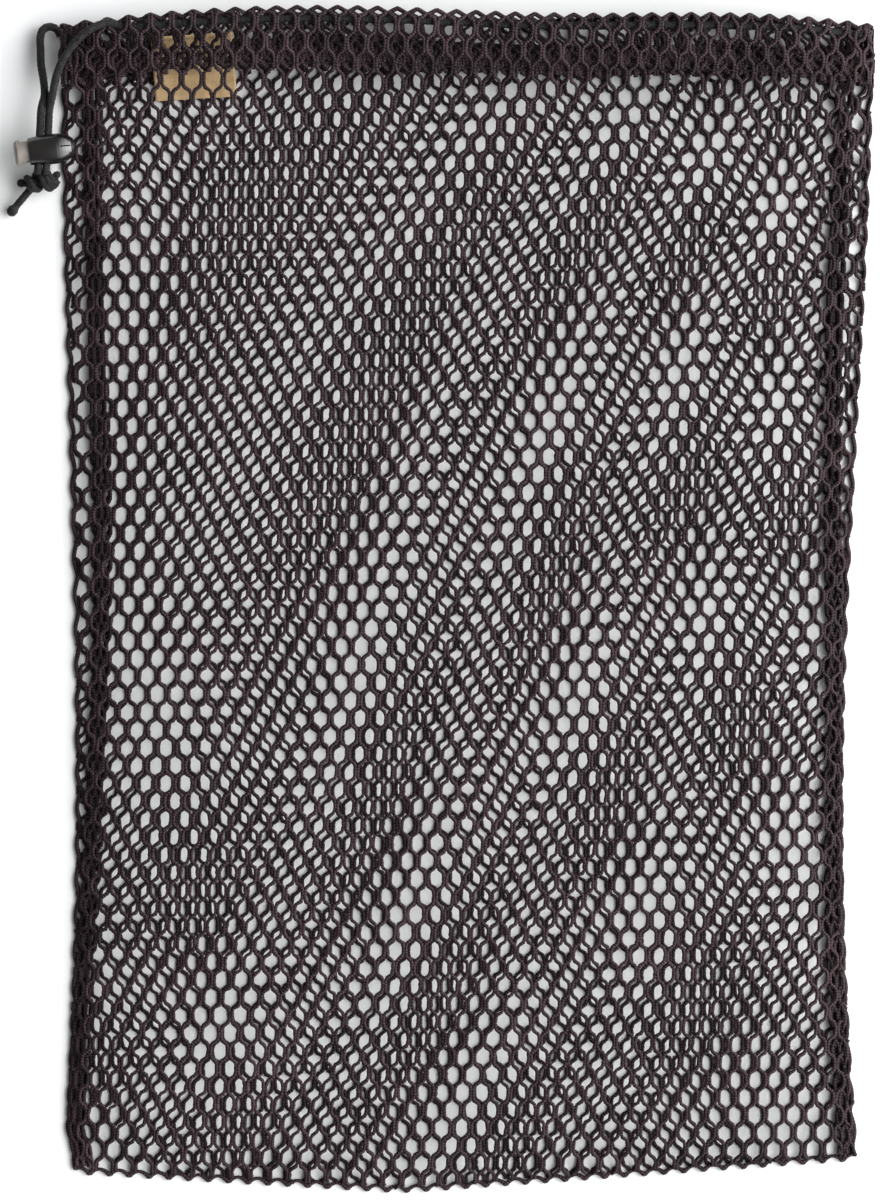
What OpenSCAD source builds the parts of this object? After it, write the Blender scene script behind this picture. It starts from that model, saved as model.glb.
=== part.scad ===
// Mesh laundry bag, lying flat: two panels of net, a drawcord casing round the mouth, and a cord lock.
// +Y points to the mouth, +Z up, and the origin is under the middle of the bag on the surface it lies on.

/* [Bag] */
// Length from the bottom fold to the mouth
bag_length = 457; // [430:1:480]
// Width across the casing at the mouth
mouth_width = 314; // [300:1:330]
// How far the casing's two ends lie below its middle
mouth_sag = 7.5; // [4:0.5:9]
// How far the bottom fold's two ends lie above its middle
bottom_bow = 10; // [0:0.5:14]
// How far the front panel stands up from the back one in the middle
loft = 7.8; // [6.8:0.1:9]

/* [Cloth] */
// Thickness of one layer of net
cloth_t = 0.7; // [0.6:0.05:0.8]
// Height of the drawcord casing
casing_h = 23; // [22:0.5:26]
// Width of the raw edge turned under inside the casing
turn_w = 9; // [6:0.5:9]
// Width of the seam allowances inside the two sides
allowance_w = 10; // [6:0.5:12]

/* [Drawcord] */
// Diameter of the braided drawcord
cord_d = 3; // [2.8:0.1:3]
// Diameter of a melted cut end
melt_d = 4.4; // [3.5:0.1:5]

/* [Cord lock] */
// Length of the lock's barrel
lock_len = 18.4; // [18.2:0.1:19]
// Widest diameter of the barrel
lock_d = 11.8; // [11.6:0.1:12.5]
// Diameter of the plunger's shank
shank_d = 8.4; // [8:0.1:8.4]
// Travel of the plunger
stroke = 3; // [2:0.1:3]
// Turns of the spring
spring_turns = 5; // [4:1:6]

/* [Care label] */
// Width of the label
label_w = 31.6; // [24:0.2:34]
// Height of the label
label_h = 24.3; // [20:0.1:28]

/* [Hidden] */

net_black = "#1d1719";
cord_black = "#17171a";

// Outline of the bag
mouth_half = mouth_width / 2;
mouth_y = bag_length / 2;
bottom_y = -bag_length / 2;
fold_w = 0.8;
side_at_mouth = [156, 153.5] * mouth_width / 314;
side_at_bottom = [151.5, 151.5] * mouth_width / 314;
side_waist = [1.5, 6];

// Casing: a flat channel, full height round the cord and thin at the stitched edge
slack = 0.3;
casing_t = cord_d + slack + 2 * cloth_t;
hem_t = 2.4;
slope_from = 4;
slope_to = 7;
layer_gap = 0.1;
end_x = 148;

// Stations across the bag and rows down it
xs = [for (i = [-13:13]) i / 13 * mouth_half];
us = [-1, -0.99, -0.98, -0.96, -0.92, -0.86, -0.78, -0.66, -0.5, -0.33, -0.16, 0,
      0.16, 0.33, 0.5, 0.66, 0.78, 0.86, 0.92, 0.96, 0.98, 0.99, 1];
vs = [0, 0.01, 0.025, 0.06, 0.15, 0.3, 0.45, 0.6, 0.7, 0.78, 0.85, 0.91, 0.95, 0.98, 1];

// Rise of the front panel: a little at the seams, the loft in the middle, more under the casing's ends
seam_rise = 1.75;
seam_ramp = 0.018;
bottom_ramp = 0.02;
flat_across = 6;
flat_down = 16;
end_rise = casing_t + layer_gap - cloth_t;
end_fade = 0.01;

function casing_top(x) = mouth_y - mouth_sag * pow(abs(x) / mouth_half, 2.5);
function casing_low(x) = casing_top(x) - casing_h;
function arch(x) = casing_t + layer_gap + loft * (1 - pow(min(abs(x) / mouth_half, 1), flat_across));

function side_x(side, v) =
    let(i = side < 0 ? 0 : 1)
    side * (side_at_mouth[i] + (side_at_bottom[i] - side_at_mouth[i]) * v - side_waist[i] * sin(180 * v));
function fold_y(x) = bottom_y + fold_w + bottom_bow * pow(abs(x) / side_at_bottom[0], 2);
function cloth_x(u, v) = side_x(sign(u), v) * abs(u);
function cloth_y(u, v) =
    let(x = cloth_x(u, v))
    casing_low(x) + (fold_y(x) - casing_low(x)) * v;
function front_rise(u, v) =
    let(
        from_side = min((1 - abs(u)) / seam_ramp, 1),
        from_bottom = min((1 - v) / bottom_ramp, 1),
        at_mouth = exp(-v / end_fade),
        seam = seam_rise * from_side * from_bottom
    )
    end_rise * at_mouth + seam * (1 - at_mouth)
        + loft * (1 - pow(abs(u), flat_across)) * (1 - pow(v, flat_down)) * (at_mouth + (1 - at_mouth) * from_side);
function front_z(u, v) = cloth_t + front_rise(u, v);

function unit(a) = a / norm(a);

// Section of the casing in Y and Z, and of the channel in it, point for point
function casing_outer() = [
    [0, 0], [casing_h - 1.6, 0], [casing_h - 0.4, 0.7], [casing_h, casing_t / 2],
    [casing_h - 0.4, casing_t - 0.7], [casing_h - 1.6, casing_t],
    [slope_to, casing_t], [slope_from, hem_t], [0, hem_t]
];
function casing_inner() = [
    [0.8, cloth_t], [casing_h - 1.9, cloth_t], [casing_h - 1.1, cloth_t + 0.45],
    [casing_h - 0.75, casing_t / 2], [casing_h - 1.1, casing_t - cloth_t - 0.45],
    [casing_h - 1.9, casing_t - cloth_t],
    [slope_to + 0.3, casing_t - cloth_t], [slope_from + 0.3, hem_t - cloth_t], [0.8, hem_t - cloth_t]
];
function casing_ring(section, x, z) = [for (p = section) [x, casing_low(x) + p[0], z + p[1]]];

// Faces of a skin over rings of n points, outward when the rings turn clockwise seen from the far end
function skin(count, n, base = 0) = [
    for (i = [0:count - 2], j = [0:n - 1])
        let(a = base + i * n + j, b = base + i * n + (j + 1) % n)
        each [[a, b, b + n], [a, b + n, a + n]]
];
function turned(faces) = [for (f = faces) [for (k = [len(f) - 1:-1:0]) f[k]]];

// Solid through rings of points, each ring anticlockwise seen from the end that x grows to
module solid_sweep(rings) {
    n = len(rings[0]);
    last = (len(rings) - 1) * n;
    polyhedron(
        points = [for (r = rings) each r],
        faces = concat(
            turned(skin(len(rings), n)),
            [[for (j = [0:n - 1]) j]],
            [[for (j = [n - 1:-1:0]) last + j]]
        ),
        convexity = 6
    );
}

// The same with a channel of matching rings through it, open at both ends
module hollow_sweep(outer, inner) {
    n = len(outer[0]);
    count = len(outer);
    all = count * n;
    last = all - n;
    polyhedron(
        points = concat([for (r = outer) each r], [for (r = inner) each r]),
        faces = concat(
            turned(skin(count, n)),
            skin(count, n, all),
            [for (j = [0:n - 1]) let(k = (j + 1) % n) [j, k, all + k, all + j]],
            [for (j = [0:n - 1]) let(k = (j + 1) % n)
                [last + k, last + j, all + last + j, all + last + k]]
        ),
        convexity = 8
    );
}

// Closed slab between two grids of points that match
module slab(low, high) {
    rows = len(low);
    cols = len(low[0]);
    all = rows * cols;
    rim = concat(
        [for (j = [0:cols - 2]) j],
        [for (i = [0:rows - 2]) i * cols + cols - 1],
        [for (j = [cols - 1:-1:1]) (rows - 1) * cols + j],
        [for (i = [rows - 1:-1:1]) i * cols]
    );
    cells = [
        for (i = [0:rows - 2], j = [0:cols - 2])
            let(a = i * cols + j)
            each [[a, a + 1, a + cols + 1], [a, a + cols + 1, a + cols]]
    ];
    polyhedron(
        points = concat([for (r = low) each r], [for (r = high) each r]),
        faces = concat(
            turned(cells),
            [for (f = cells) [for (k = f) k + all]],
            [for (i = [0:len(rim) - 1])
                let(a = rim[i], b = rim[(i + 1) % len(rim)])
                each [[a, b, b + all], [a, b + all, a + all]]]
        ),
        convexity = 6
    );
}

// Rectangle as a ring in Y and Z at one station
function bar_ring(x, y0, y1, z0, z1) = [[x, y0, z0], [x, y1, z0], [x, y1, z1], [x, y0, z1]];

// ---- Cloth ----

// The front panel in four stretches: the flat middle, the sides that come down to the seams, and the bottom
side_from = 0.66;
bottom_from = 0.85;
module panel_stretch(u_from, u_to, v_from, v_to) {
    low = [
        for (v = vs) if (v >= v_from && v <= v_to)
            [for (u = us) if (u >= u_from && u <= u_to) [cloth_x(u, v), cloth_y(u, v), front_z(u, v)]]
    ];
    color(net_black)
    slab(low, [for (row = low) [for (p = row) p + [0, 0, cloth_t]]]);
}

module front_panel() { panel_stretch(-side_from, side_from, 0, bottom_from); }

module front_panel_left_side() { panel_stretch(-1, -side_from, 0, bottom_from); }

module front_panel_right_side() { panel_stretch(side_from, 1, 0, bottom_from); }

module front_panel_bottom() { panel_stretch(-1, 1, bottom_from, 1); }

module back_panel() {
    left = [for (i = [0:24]) [cloth_x(-1, i / 24), cloth_y(-1, i / 24)]];
    bottom = [for (i = [1:len(us) - 2]) [cloth_x(us[i], 1), cloth_y(us[i], 1)]];
    right = [for (i = [24:-1:0]) [cloth_x(1, i / 24), cloth_y(1, i / 24)]];
    top = [for (i = [12:-1:-12]) let(x = i / 13 * mouth_half) [x, casing_low(x)]];
    color(net_black)
    linear_extrude(cloth_t)
        polygon(concat(left, bottom, right, top));
}

module bottom_fold() {
    rings = [
        for (u = us)
            let(x = cloth_x(u, 1), y = cloth_y(u, 1))
            bar_ring(x, y - fold_w, y, 0, 2 * cloth_t)
    ];
    color(net_black)
    solid_sweep(rings);
}

module casing(lift, from_x, to_x) {
    stations = concat([from_x], [for (x = xs) if (x > from_x + 1 && x < to_x - 1) x], [to_x]);
    hollow_sweep(
        [for (x = stations) casing_ring(casing_outer(), x, lift * arch(x))],
        [for (x = stations) casing_ring(casing_inner(), x, lift * arch(x))]
    );
}

module front_casing() {
    color(net_black)
    casing(1, -mouth_half, end_x);
}

module back_casing() {
    color(net_black)
    casing(0, -mouth_half, end_x);
}

// The channel's way round the side, from the back casing to the front one
module casing_right_end() {
    wall = 0.8;
    low_y = casing_low(end_x) + 0.1;
    high_y = casing_top(mouth_half) - 0.5;
    top_z = arch(end_x) + casing_t - 0.1;
    color(net_black)
    difference() {
        translate([end_x, low_y, 0])
            cube([mouth_half - end_x, high_y - low_y, top_z]);
        translate([end_x - 1, low_y + wall, wall])
            cube([mouth_half - end_x + 1 - wall, high_y - low_y - 2 * wall, top_z - 2 * wall]);
    }
}

module hem_turn(lift) {
    stations = concat([-mouth_half + 1], [for (x = xs) if (abs(x) < end_x - 2) x], [end_x - 1]);
    rings = [
        for (x = stations)
            let(y = casing_low(x) + 1, z = lift * arch(x) + cloth_t + 0.1)
            bar_ring(x, y, y + turn_w, z, z + cloth_t)
    ];
    color(net_black)
    solid_sweep(rings);
}

module front_hem_turn() { hem_turn(1); }

module back_hem_turn() { hem_turn(0); }

// Two raw edges sewn together, laid flat between the panels
allowance_inset = 3.2;
allowance_rows = [for (i = [1:19]) i / 20];
module seam_allowance(side) {
    outer = [for (v = allowance_rows) [side_x(side, v) - side * allowance_inset, cloth_y(side, v)]];
    inner = [
        for (i = [len(outer) - 1:-1:0])
            [outer[i][0] - side * allowance_w, outer[i][1]]
    ];
    color(net_black)
    translate([0, 0, cloth_t])
        linear_extrude(2 * cloth_t)
            polygon(concat(outer, inner));
}

module left_seam_allowance() { seam_allowance(-1); }

module right_seam_allowance() { seam_allowance(1); }

// ---- Thread ----

thread_t = 0.3;
stitch_len = 2.4;
stitch_pitch = 3.6;

module stitch() {
    translate([-stitch_len / 2, -thread_t, 0])
        cube([stitch_len, 2 * thread_t, thread_t]);
}

module seam_stitching(side) {
    first_v = 0.055;
    last_v = 0.945;
    span = (last_v - first_v) * (mouth_y - casing_h - bottom_y);
    count = floor(span / stitch_pitch);
    color("#0f0d0e")
    for (i = [0:count]) {
        v = first_v + (last_v - first_v) * i / count;
        ahead = side_x(side, v + 0.01) - side_x(side, v);
        down = cloth_y(side, v + 0.01) - cloth_y(side, v);
        translate([side_x(side, v) - side * (allowance_inset + 1.6), cloth_y(side, v), 3 * cloth_t])
            rotate(atan2(down, ahead))
                stitch();
    }
}

module left_seam_stitching() { seam_stitching(-1); }

module right_seam_stitching() { seam_stitching(1); }

// Thread along the casing's lower edge, sunk a little into the net
module hem_stitching(lift) {
    reach = end_x - 4;
    count = floor(2 * reach / stitch_pitch);
    color("#0f0d0e")
    for (i = [0:count]) {
        x = -reach + 2 * reach * i / count;
        rise = lift * (arch(x + 1) - arch(x - 1)) / 2;
        along = (casing_low(x + 1) - casing_low(x - 1)) / 2;
        translate([x, casing_low(x) + 2, lift * arch(x) + hem_t - 0.15])
            rotate([0, -atan(rise), atan(along)])
                stitch();
    }
}

module front_hem_stitching() { hem_stitching(1); }

module back_hem_stitching() { hem_stitching(0); }

// ---- Care label: woven tape sewn to the back casing, inside the bag ----

label_t = 0.4;
label_x = -105;
label_from_top = 7.4;
label_clear = 0.2;
label_turn = atan((casing_low(label_x + 1) - casing_low(label_x - 1)) / 2);

function label_section() =
    let(
        top = casing_h - label_from_top,
        low = top - label_h,
        z = casing_t + label_clear,
        hem = hem_t + label_clear,
        cloth = cloth_t + label_clear
    )
    [
        [low, cloth], [-1.2, cloth], [-0.3, hem], [slope_from - 0.1, hem], [slope_to - 0.1, z], [top, z],
        [top, z + label_t], [slope_to - 0.3, z + label_t], [slope_from - 0.3, hem + label_t],
        [-0.6, hem + label_t], [-1.5, cloth + label_t], [low, cloth + label_t]
    ];

// Its own place: X along the casing's lower edge, Y up the casing
module on_label() {
    translate([label_x, casing_low(label_x), 0])
        rotate(label_turn)
            children();
}

module care_label() {
    color("#b9a283")
    on_label()
        rotate([90, 0, 90])
            linear_extrude(label_w, center = true)
                polygon(label_section());
}

module label_stitching() {
    reach = label_w / 2 - 2;
    count = floor(2 * reach / 3);
    row_y = casing_h - label_from_top - 1.5;
    row_z = casing_t + label_clear + label_t - 0.1;
    color("#8d7a60")
    on_label()
        for (i = [0:count])
            translate([-reach + 2 * reach * i / count, row_y, row_z])
                scale(0.6)
                    stitch();
}

// ---- Cord lock: its own directions and the place where the pair of strands passes through ----

// The casing's left end, at its lower edge: the lock, the free strands and the knot are placed from it
corner = [-mouth_half, casing_low(mouth_half), 0];
lock_centre = corner + [-2.4, -24.2, 9.6];
lock_tilt = 8;
lock_pitch = 8;
slot_skew = 11;
closed_way = [cos(lock_tilt) * cos(lock_pitch), sin(lock_tilt) * cos(lock_pitch), -sin(lock_pitch)];
side_way = [-sin(lock_tilt), cos(lock_tilt), 0];
cord_way = sin(slot_skew) * closed_way + cos(slot_skew) * side_way;
pair_way = cos(slot_skew) * closed_way - sin(slot_skew) * side_way;
pair_from_end = 12.9;
pair_centre = lock_centre + (lock_len / 2 - pair_from_end) * closed_way;

// Running clearances
bore_gap = 0.1;
slot_gap = 0.2;

slot_h = cord_d + 2 * slot_gap;
slot_w = 2 * cord_d + 2 * slot_gap;
slot_stroke = stroke * cos(slot_skew);
strand_apart = cord_d / 2 + 0.05;

// Distances along the lock, counted from the barrel's closed end
widest_at = 8.4;
mouth_d = 10.2;
pocket_from = 1.6;
bore_from = 3.8;
pocket_d = 4.4;
shank_from = bore_from + stroke + 0.2;
recess_depth = 0.4;
recess_d = 4.2;
head_gap = 0.2;
head_t = 2.2;
head_d = 9.6;
head_round = 0.7;
spring_d = 3.6;
wire_d = 0.45;

module along_lock() {
    translate(lock_centre)
        rotate([0, 0, lock_tilt])
            rotate([0, lock_pitch, 0])
                translate([lock_len / 2, 0, 0])
                    rotate([0, -90, 0])
                        children();
}

function barrel_r(s) =
    let(
        nose = 8.6,
        tail = (lock_len - widest_at) / sqrt(1 - pow(mouth_d / lock_d, 2)),
        reach = s < widest_at ? nose : tail
    )
    lock_d / 2 * sqrt(1 - pow((s - widest_at) / reach, 2));

// Slot for the two strands; it runs on by one stroke on the side given
module cord_slot(side) {
    depth = 2 * lock_d;
    low = -slot_w / 2 - (side < 0 ? slot_stroke : 0);
    translate([0, 0, pair_from_end])
        rotate([-slot_skew, 0, 0])
            translate([-slot_h / 2, -depth / 2, low])
                cube([slot_h, depth, slot_w + slot_stroke]);
}

module lock_body() {
    rows = 16;
    profile = [for (i = [0:rows]) let(s = lock_len * i / rows) [barrel_r(s), s]];
    slit_w = 0.5;
    color("#3a3a3d")
    along_lock()
        difference() {
            rotate_extrude($fn = 72)
                polygon(concat([[0, 0]], profile, [[0, lock_len]]));
            translate([0, 0, pocket_from])
                cylinder(h = lock_len, d = pocket_d, $fn = 48);
            translate([0, 0, bore_from])
                cylinder(h = lock_len, d = shank_d + 2 * bore_gap, $fn = 64);
            cord_slot(-1);
            translate([lock_d / 2 - 1.6, -slit_w / 2, 2.2])
                cube([2, slit_w, 4.4]);
        }
}

module lock_plunger() {
    head_from = lock_len + stroke + head_gap;
    tip = head_from + head_t;
    color("#6b6b70")
    along_lock()
        difference() {
            rotate_extrude($fn = 64)
                polygon([
                    [0, shank_from], [shank_d / 2, shank_from], [shank_d / 2, head_from],
                    [head_d / 2, head_from], [head_d / 2, tip - head_round],
                    [head_d / 2 - head_round, tip], [0, tip + 0.3]
                ]);
            translate([0, 0, shank_from - 1])
                cylinder(h = 1 + recess_depth, d = recess_d, $fn = 48);
            cord_slot(1);
        }
}

module lock_spring() {
    per_turn = 12;
    low = pocket_from + 0.05 + wire_d / 2;
    high = shank_from + recess_depth - 0.05 - wire_d / 2;
    steps = spring_turns * per_turn;
    r = (spring_d - wire_d) / 2;
    path = [
        for (i = [0:steps])
            let(a = 360 * i / per_turn)
            [r * cos(a), r * sin(a), low + (high - low) * i / steps]
    ];
    color("silver")
    along_lock()
        solid_sweep([for (i = [0:steps]) tube_ring(path, i, wire_d, 6)]);
}

// ---- Drawcord ----

// Ring of a tube square to its path at point i
function path_way(path, i) = unit(path[min(i + 1, len(path) - 1)] - path[max(i - 1, 0)]);
function tube_ring(path, i, d, n) =
    let(
        way = path_way(path, i),
        across = unit(cross([0, 0, 1], way)),
        up = cross(way, across)
    )
    [for (j = [0:n - 1]) let(a = 360 * (j + 0.5) / n) path[i] + d / 2 * (cos(a) * across + sin(a) * up)];

// The two strands run straight and side by side through the lock and just above it
straight_stops = [-9.5, -5, 0, 5, 10, 15.5];
function straight(side) = [
    for (t = straight_stops) pair_centre + side * strand_apart * pair_way + t * cord_way
];

// Free part of each strand above the lock, from the corner
strand_a_route = [
    [-5.6, -3, 8.2], [-6.2, 3, 6.8], [-6.7, 9, 5.6], [-6.9, 14, 4.9], [-6.7, 18.4, 4.4],
    [-5.8, 21.4, 4], [-4.2, 23, 3.6], [-2.3, 22.9, 3], [-0.8, 21.5, 2.6]
];
strand_b_route = [
    [-2.4, -3.6, 10.6], [-1, 2.6, 11.8], [1.2, 8.4, 12.8], [4.4, 13.6, 13.6],
    [8.4, 18, 14.3], [13.2, 21.6, 14.4], [18, 23.6, 13.2]
];

// Runs in the casing: height above the casing's lower edge at each end
back_high = 20.2;
back_low = 11.8;
front_high = 19.2;
back_rise_from = -110;
turn_x = 149.5;
cord_z = casing_t / 2;
exit_x = -131;

function back_offset(x) =
    x > back_rise_from ? back_low
    : back_low + (back_high - back_low) * pow((back_rise_from - x) / (mouth_half + back_rise_from), 2);
run_xs = [for (x = xs) if (abs(x) < 146) x];
back_run = concat(
    [[-mouth_half, casing_low(mouth_half) + back_high, cord_z]],
    [for (x = run_xs) [x, casing_low(x) + back_offset(x), cord_z]],
    [[turn_x, casing_low(turn_x) + back_low, cord_z]]
);
front_run = concat(
    [[turn_x, casing_low(turn_x) + front_high, arch(turn_x) + cord_z]],
    [for (i = [len(run_xs) - 1:-1:0]) let(x = run_xs[i])
        if (x > exit_x + 4) [x, casing_low(x) + front_high, arch(x) + cord_z]],
    [[exit_x, casing_low(exit_x) + front_high, arch(exit_x) + cord_z]]
);
turn_start = back_run[len(back_run) - 1];
turn_end = front_run[0];
turn_centre = (turn_start + turn_end) / 2;
turn_r = norm(turn_end - turn_start) / 2;
side_turn = [
    for (a = [-67.5:22.5:67.5])
        turn_centre + turn_r * (cos(a) * [1, 0, 0] + sin(a) * unit(turn_end - turn_start))
];

strand_a = concat(straight(-1), [for (p = strand_a_route) corner + p]);
strand_b = concat(
    [for (i = [len(strand_b_route) - 1:-1:0]) corner + strand_b_route[i]],
    [for (i = [len(straight_stops) - 1:-1:0]) straight(1)[i]]
);
whole_cord = concat(strand_a, back_run, side_turn, front_run, strand_b);
back_from = len(strand_a);
back_to = back_from + len(back_run) - 1;
front_from = back_to + len(side_turn) + 1;
front_to = front_from + len(front_run) - 1;
cord_sides = 8;

module cord(from, to) {
    color(cord_black)
    solid_sweep([for (i = [from:to]) tube_ring(whole_cord, i, cord_d, cord_sides)]);
}

module drawcord_strand_a() { cord(0, back_from); }

module drawcord_back_run() { cord(back_from, back_to); }

module drawcord_side_turn() { cord(back_to, front_from); }

module drawcord_front_run() { cord(front_from, front_to); }

module drawcord_strand_b() { cord(front_to, len(whole_cord) - 1); }

// Overhand knot of both strands, a lump just below the lock
knot_centre = corner + [-6.6, -36, 5.7];
knot_half_len = 7.6;
knot_half_d = 4.8;
module drawcord_knot() {
    rows = 10;
    color(cord_black)
    translate(knot_centre)
        rotate([0, 0, lock_tilt])
            rotate([0, 90, 0])
                rotate_extrude($fn = 48)
                    polygon([
                        for (i = [0:rows])
                            let(a = 180 * i / rows - 90)
                            [knot_half_d * cos(a), knot_half_len * sin(a)]
                    ]);
}

// Straight length of cord between two places, both from the corner, with a melted bulb round the far one
module cut_end(from, to, bulb_d) {
    way = to - from;
    rows = 10;
    first = asin(cord_d / bulb_d);
    color(cord_black)
    translate(corner + from)
        rotate([0, acos(way[2] / norm(way)), atan2(way[1], way[0])])
            rotate_extrude($fn = 32)
                polygon(concat(
                    [[0, 0], [cord_d / 2, 0]],
                    [
                        for (i = [0:rows])
                            let(a = first + (180 - first) * i / rows)
                            [bulb_d / 2 * sin(a), norm(way) - bulb_d / 2 * cos(a)]
                    ]
                ));
}

module drawcord_tail() { cut_end([-11, -38.5, 3.4], [-18.6, -47.4, 2.3], melt_d); }

module drawcord_stub() { cut_end([-11.5, -36.6, 4], [-15, -36.8, 3.6], cord_d + 0.4); }

front_panel();
front_panel_left_side();
front_panel_right_side();
front_panel_bottom();
back_panel();
bottom_fold();
front_casing();
back_casing();
casing_right_end();
front_hem_turn();
back_hem_turn();
left_seam_allowance();
right_seam_allowance();
left_seam_stitching();
right_seam_stitching();
front_hem_stitching();
back_hem_stitching();
care_label();
label_stitching();
drawcord_back_run();
drawcord_side_turn();
drawcord_front_run();
drawcord_strand_a();
drawcord_strand_b();
drawcord_knot();
drawcord_tail();
drawcord_stub();
lock_body();
lock_plunger();
lock_spring();
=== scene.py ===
import math

import bpy
import numpy as np
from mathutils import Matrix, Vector


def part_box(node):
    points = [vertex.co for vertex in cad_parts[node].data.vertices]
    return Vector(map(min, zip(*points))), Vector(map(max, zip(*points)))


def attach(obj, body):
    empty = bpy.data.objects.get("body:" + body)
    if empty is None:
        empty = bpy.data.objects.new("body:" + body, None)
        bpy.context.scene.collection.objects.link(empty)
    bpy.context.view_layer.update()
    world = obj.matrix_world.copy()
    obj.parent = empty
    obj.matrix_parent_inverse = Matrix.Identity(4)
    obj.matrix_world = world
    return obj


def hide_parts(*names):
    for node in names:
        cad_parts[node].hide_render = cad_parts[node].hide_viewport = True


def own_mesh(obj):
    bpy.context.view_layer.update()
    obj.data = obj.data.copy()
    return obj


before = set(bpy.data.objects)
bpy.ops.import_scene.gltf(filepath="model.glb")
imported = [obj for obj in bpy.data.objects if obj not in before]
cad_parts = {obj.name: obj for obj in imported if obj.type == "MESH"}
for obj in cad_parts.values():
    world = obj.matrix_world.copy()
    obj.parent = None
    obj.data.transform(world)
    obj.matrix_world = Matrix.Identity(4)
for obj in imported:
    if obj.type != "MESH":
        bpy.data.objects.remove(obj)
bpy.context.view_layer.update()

MM = 0.001
random = np.random.default_rng(7)


def box_mm(node):
    """Lowest and highest corners of a CAD node, in millimetres."""
    low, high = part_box(node)
    return np.array(low) / MM, np.array(high) / MM


def stand_in(piece, slot, *nodes):
    """The piece belongs to the bag and takes the place of CAD nodes; slot is not used."""
    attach(piece, "bag")
    if nodes:
        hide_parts(*nodes)


# ---- The bag's outline and heights, in millimetres ----
# The heights are the CAD's. The outline is the CAD's too, with the uneven lines of the real cloth, a few
# millimetres from it. Pairs of values are for the left and the right side.

CASING_LOW, CASING_HIGH = box_mm("front_casing")
MOUTH_HALF = -CASING_LOW[0]
MOUTH_Y = CASING_HIGH[1]
BOTTOM_Y = box_mm("bottom_fold")[0][1]
CASING_H = 23
CASING_T = 4.7
HEM_T = 2.4
SLOPE_FROM, SLOPE_TO = 4, 7
LAYER_GAP = 0.1
CLOTH_T = 0.7
BACK_MID, FRONT_MID = 0.5 * CLOTH_T, 1.5 * CLOTH_T
LOFT = CASING_HIGH[2] - 2 * CASING_T - LAYER_GAP
MOUTH_SAG = 7.5
SAG_POWER = 2.5
MOUTH_DIP, MOUTH_DIP_X, MOUTH_DIP_REACH = 4, 35, 68
BOTTOM_LOW_X, BOTTOM_ROUND = -25, 4
BOTTOM_SLOPES = (0.058, 0.072)
FOLD_W = 1.6
SIDE_AT_MOUTH = (157, 157.3)
SIDE_AT_BOTTOM = (156.3, 151.5)
SIDE_WAIST = (5, 7.6)
WAIST_LOW = 1.5
CORNER_IN, CORNER_FROM = (4, 0), 0.96
FLAT_ACROSS, FLAT_DOWN = 6, 16
SEAM_RISE, SEAM_RAMP, BOTTOM_RAMP = 1.75, 0.018, 0.02
SIDE_LOW = 2.2
END_RISE, END_FADE = CASING_T + LAYER_GAP - CLOTH_T, 0.01
END_X = 148
TURN_W = 9
LONG_SIDE = MOUTH_Y - BOTTOM_Y - CASING_H


def casing_top(x):
    """The mouth's line, which falls towards both sides and dips a little right of the middle."""
    dip = MOUTH_DIP * np.exp(-(((x - MOUTH_DIP_X) / MOUTH_DIP_REACH) ** 2))
    return MOUTH_Y - MOUTH_SAG * (np.abs(x) / MOUTH_HALF) ** SAG_POWER - dip


def casing_low(x):
    return casing_top(x) - CASING_H


def arch(x):
    """Height of the front casing's underside."""
    across = np.minimum(np.abs(x) / MOUTH_HALF, 1)
    return CASING_T + LAYER_GAP + LOFT * (1 - across**FLAT_ACROSS)


def fold_y(x):
    """The fold at the bottom, which lies lowest a little left of the middle."""
    slope = np.where(x < BOTTOM_LOW_X, *BOTTOM_SLOPES)
    return BOTTOM_Y + FOLD_W + slope * (np.hypot(x - BOTTOM_LOW_X, BOTTOM_ROUND) - BOTTOM_ROUND)


def side_x(right, v):
    """Distance of the side line from the middle; right is True on the right side."""
    at_mouth, at_bottom, waist, corner_in = (
        np.where(right, pair[1], pair[0]) for pair in (SIDE_AT_MOUTH, SIDE_AT_BOTTOM, SIDE_WAIST, CORNER_IN)
    )
    corner = corner_in * np.clip((v - CORNER_FROM) / (1 - CORNER_FROM), 0, 1)
    return at_mouth + (at_bottom - at_mouth) * v - waist * np.sin(math.pi * v**WAIST_LOW) - corner


def down(x, y):
    """0 at the casing's lower edge, 1 at the bottom fold."""
    return (casing_low(x) - y) / (casing_low(x) - fold_y(x))


def front_z(x, y):
    """Middle of the front panel's cloth."""
    v = np.clip(down(x, y), 0, 1)
    u = np.minimum(np.abs(x) / (side_x(x > 0, v) - SIDE_LOW), 1)
    from_side = np.minimum((1 - u) / SEAM_RAMP, 1)
    from_bottom = np.minimum((1 - v) / BOTTOM_RAMP, 1)
    at_mouth = np.exp(-v / END_FADE)
    seam = SEAM_RISE * from_side * from_bottom
    dome = LOFT * (1 - u**FLAT_ACROSS) * (1 - v**FLAT_DOWN)
    rise = END_RISE * at_mouth + seam * (1 - at_mouth) + dome * (at_mouth + (1 - at_mouth) * from_side)
    return FRONT_MID + rise


# ---- Camera, straight above ----

CAMERA_LENS = 130
SENSOR = 36
VIEW_CENTRE = (-10.4, 0.3)
VIEW_TALL = 462
VIEW_PLANE_Z = 8


def make_camera():
    camera = bpy.data.objects.new("camera", bpy.data.cameras.new("camera"))
    bpy.context.scene.collection.objects.link(camera)
    camera.data.lens = CAMERA_LENS
    camera.data.sensor_width = SENSOR
    height = VIEW_TALL / SENSOR * CAMERA_LENS + VIEW_PLANE_Z
    camera.location = Vector((*VIEW_CENTRE, height)) * MM
    camera.data.clip_start = 0.05
    camera.data.clip_end = 20
    bpy.context.scene.camera = camera


make_camera()


# ---- Node materials ----

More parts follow.
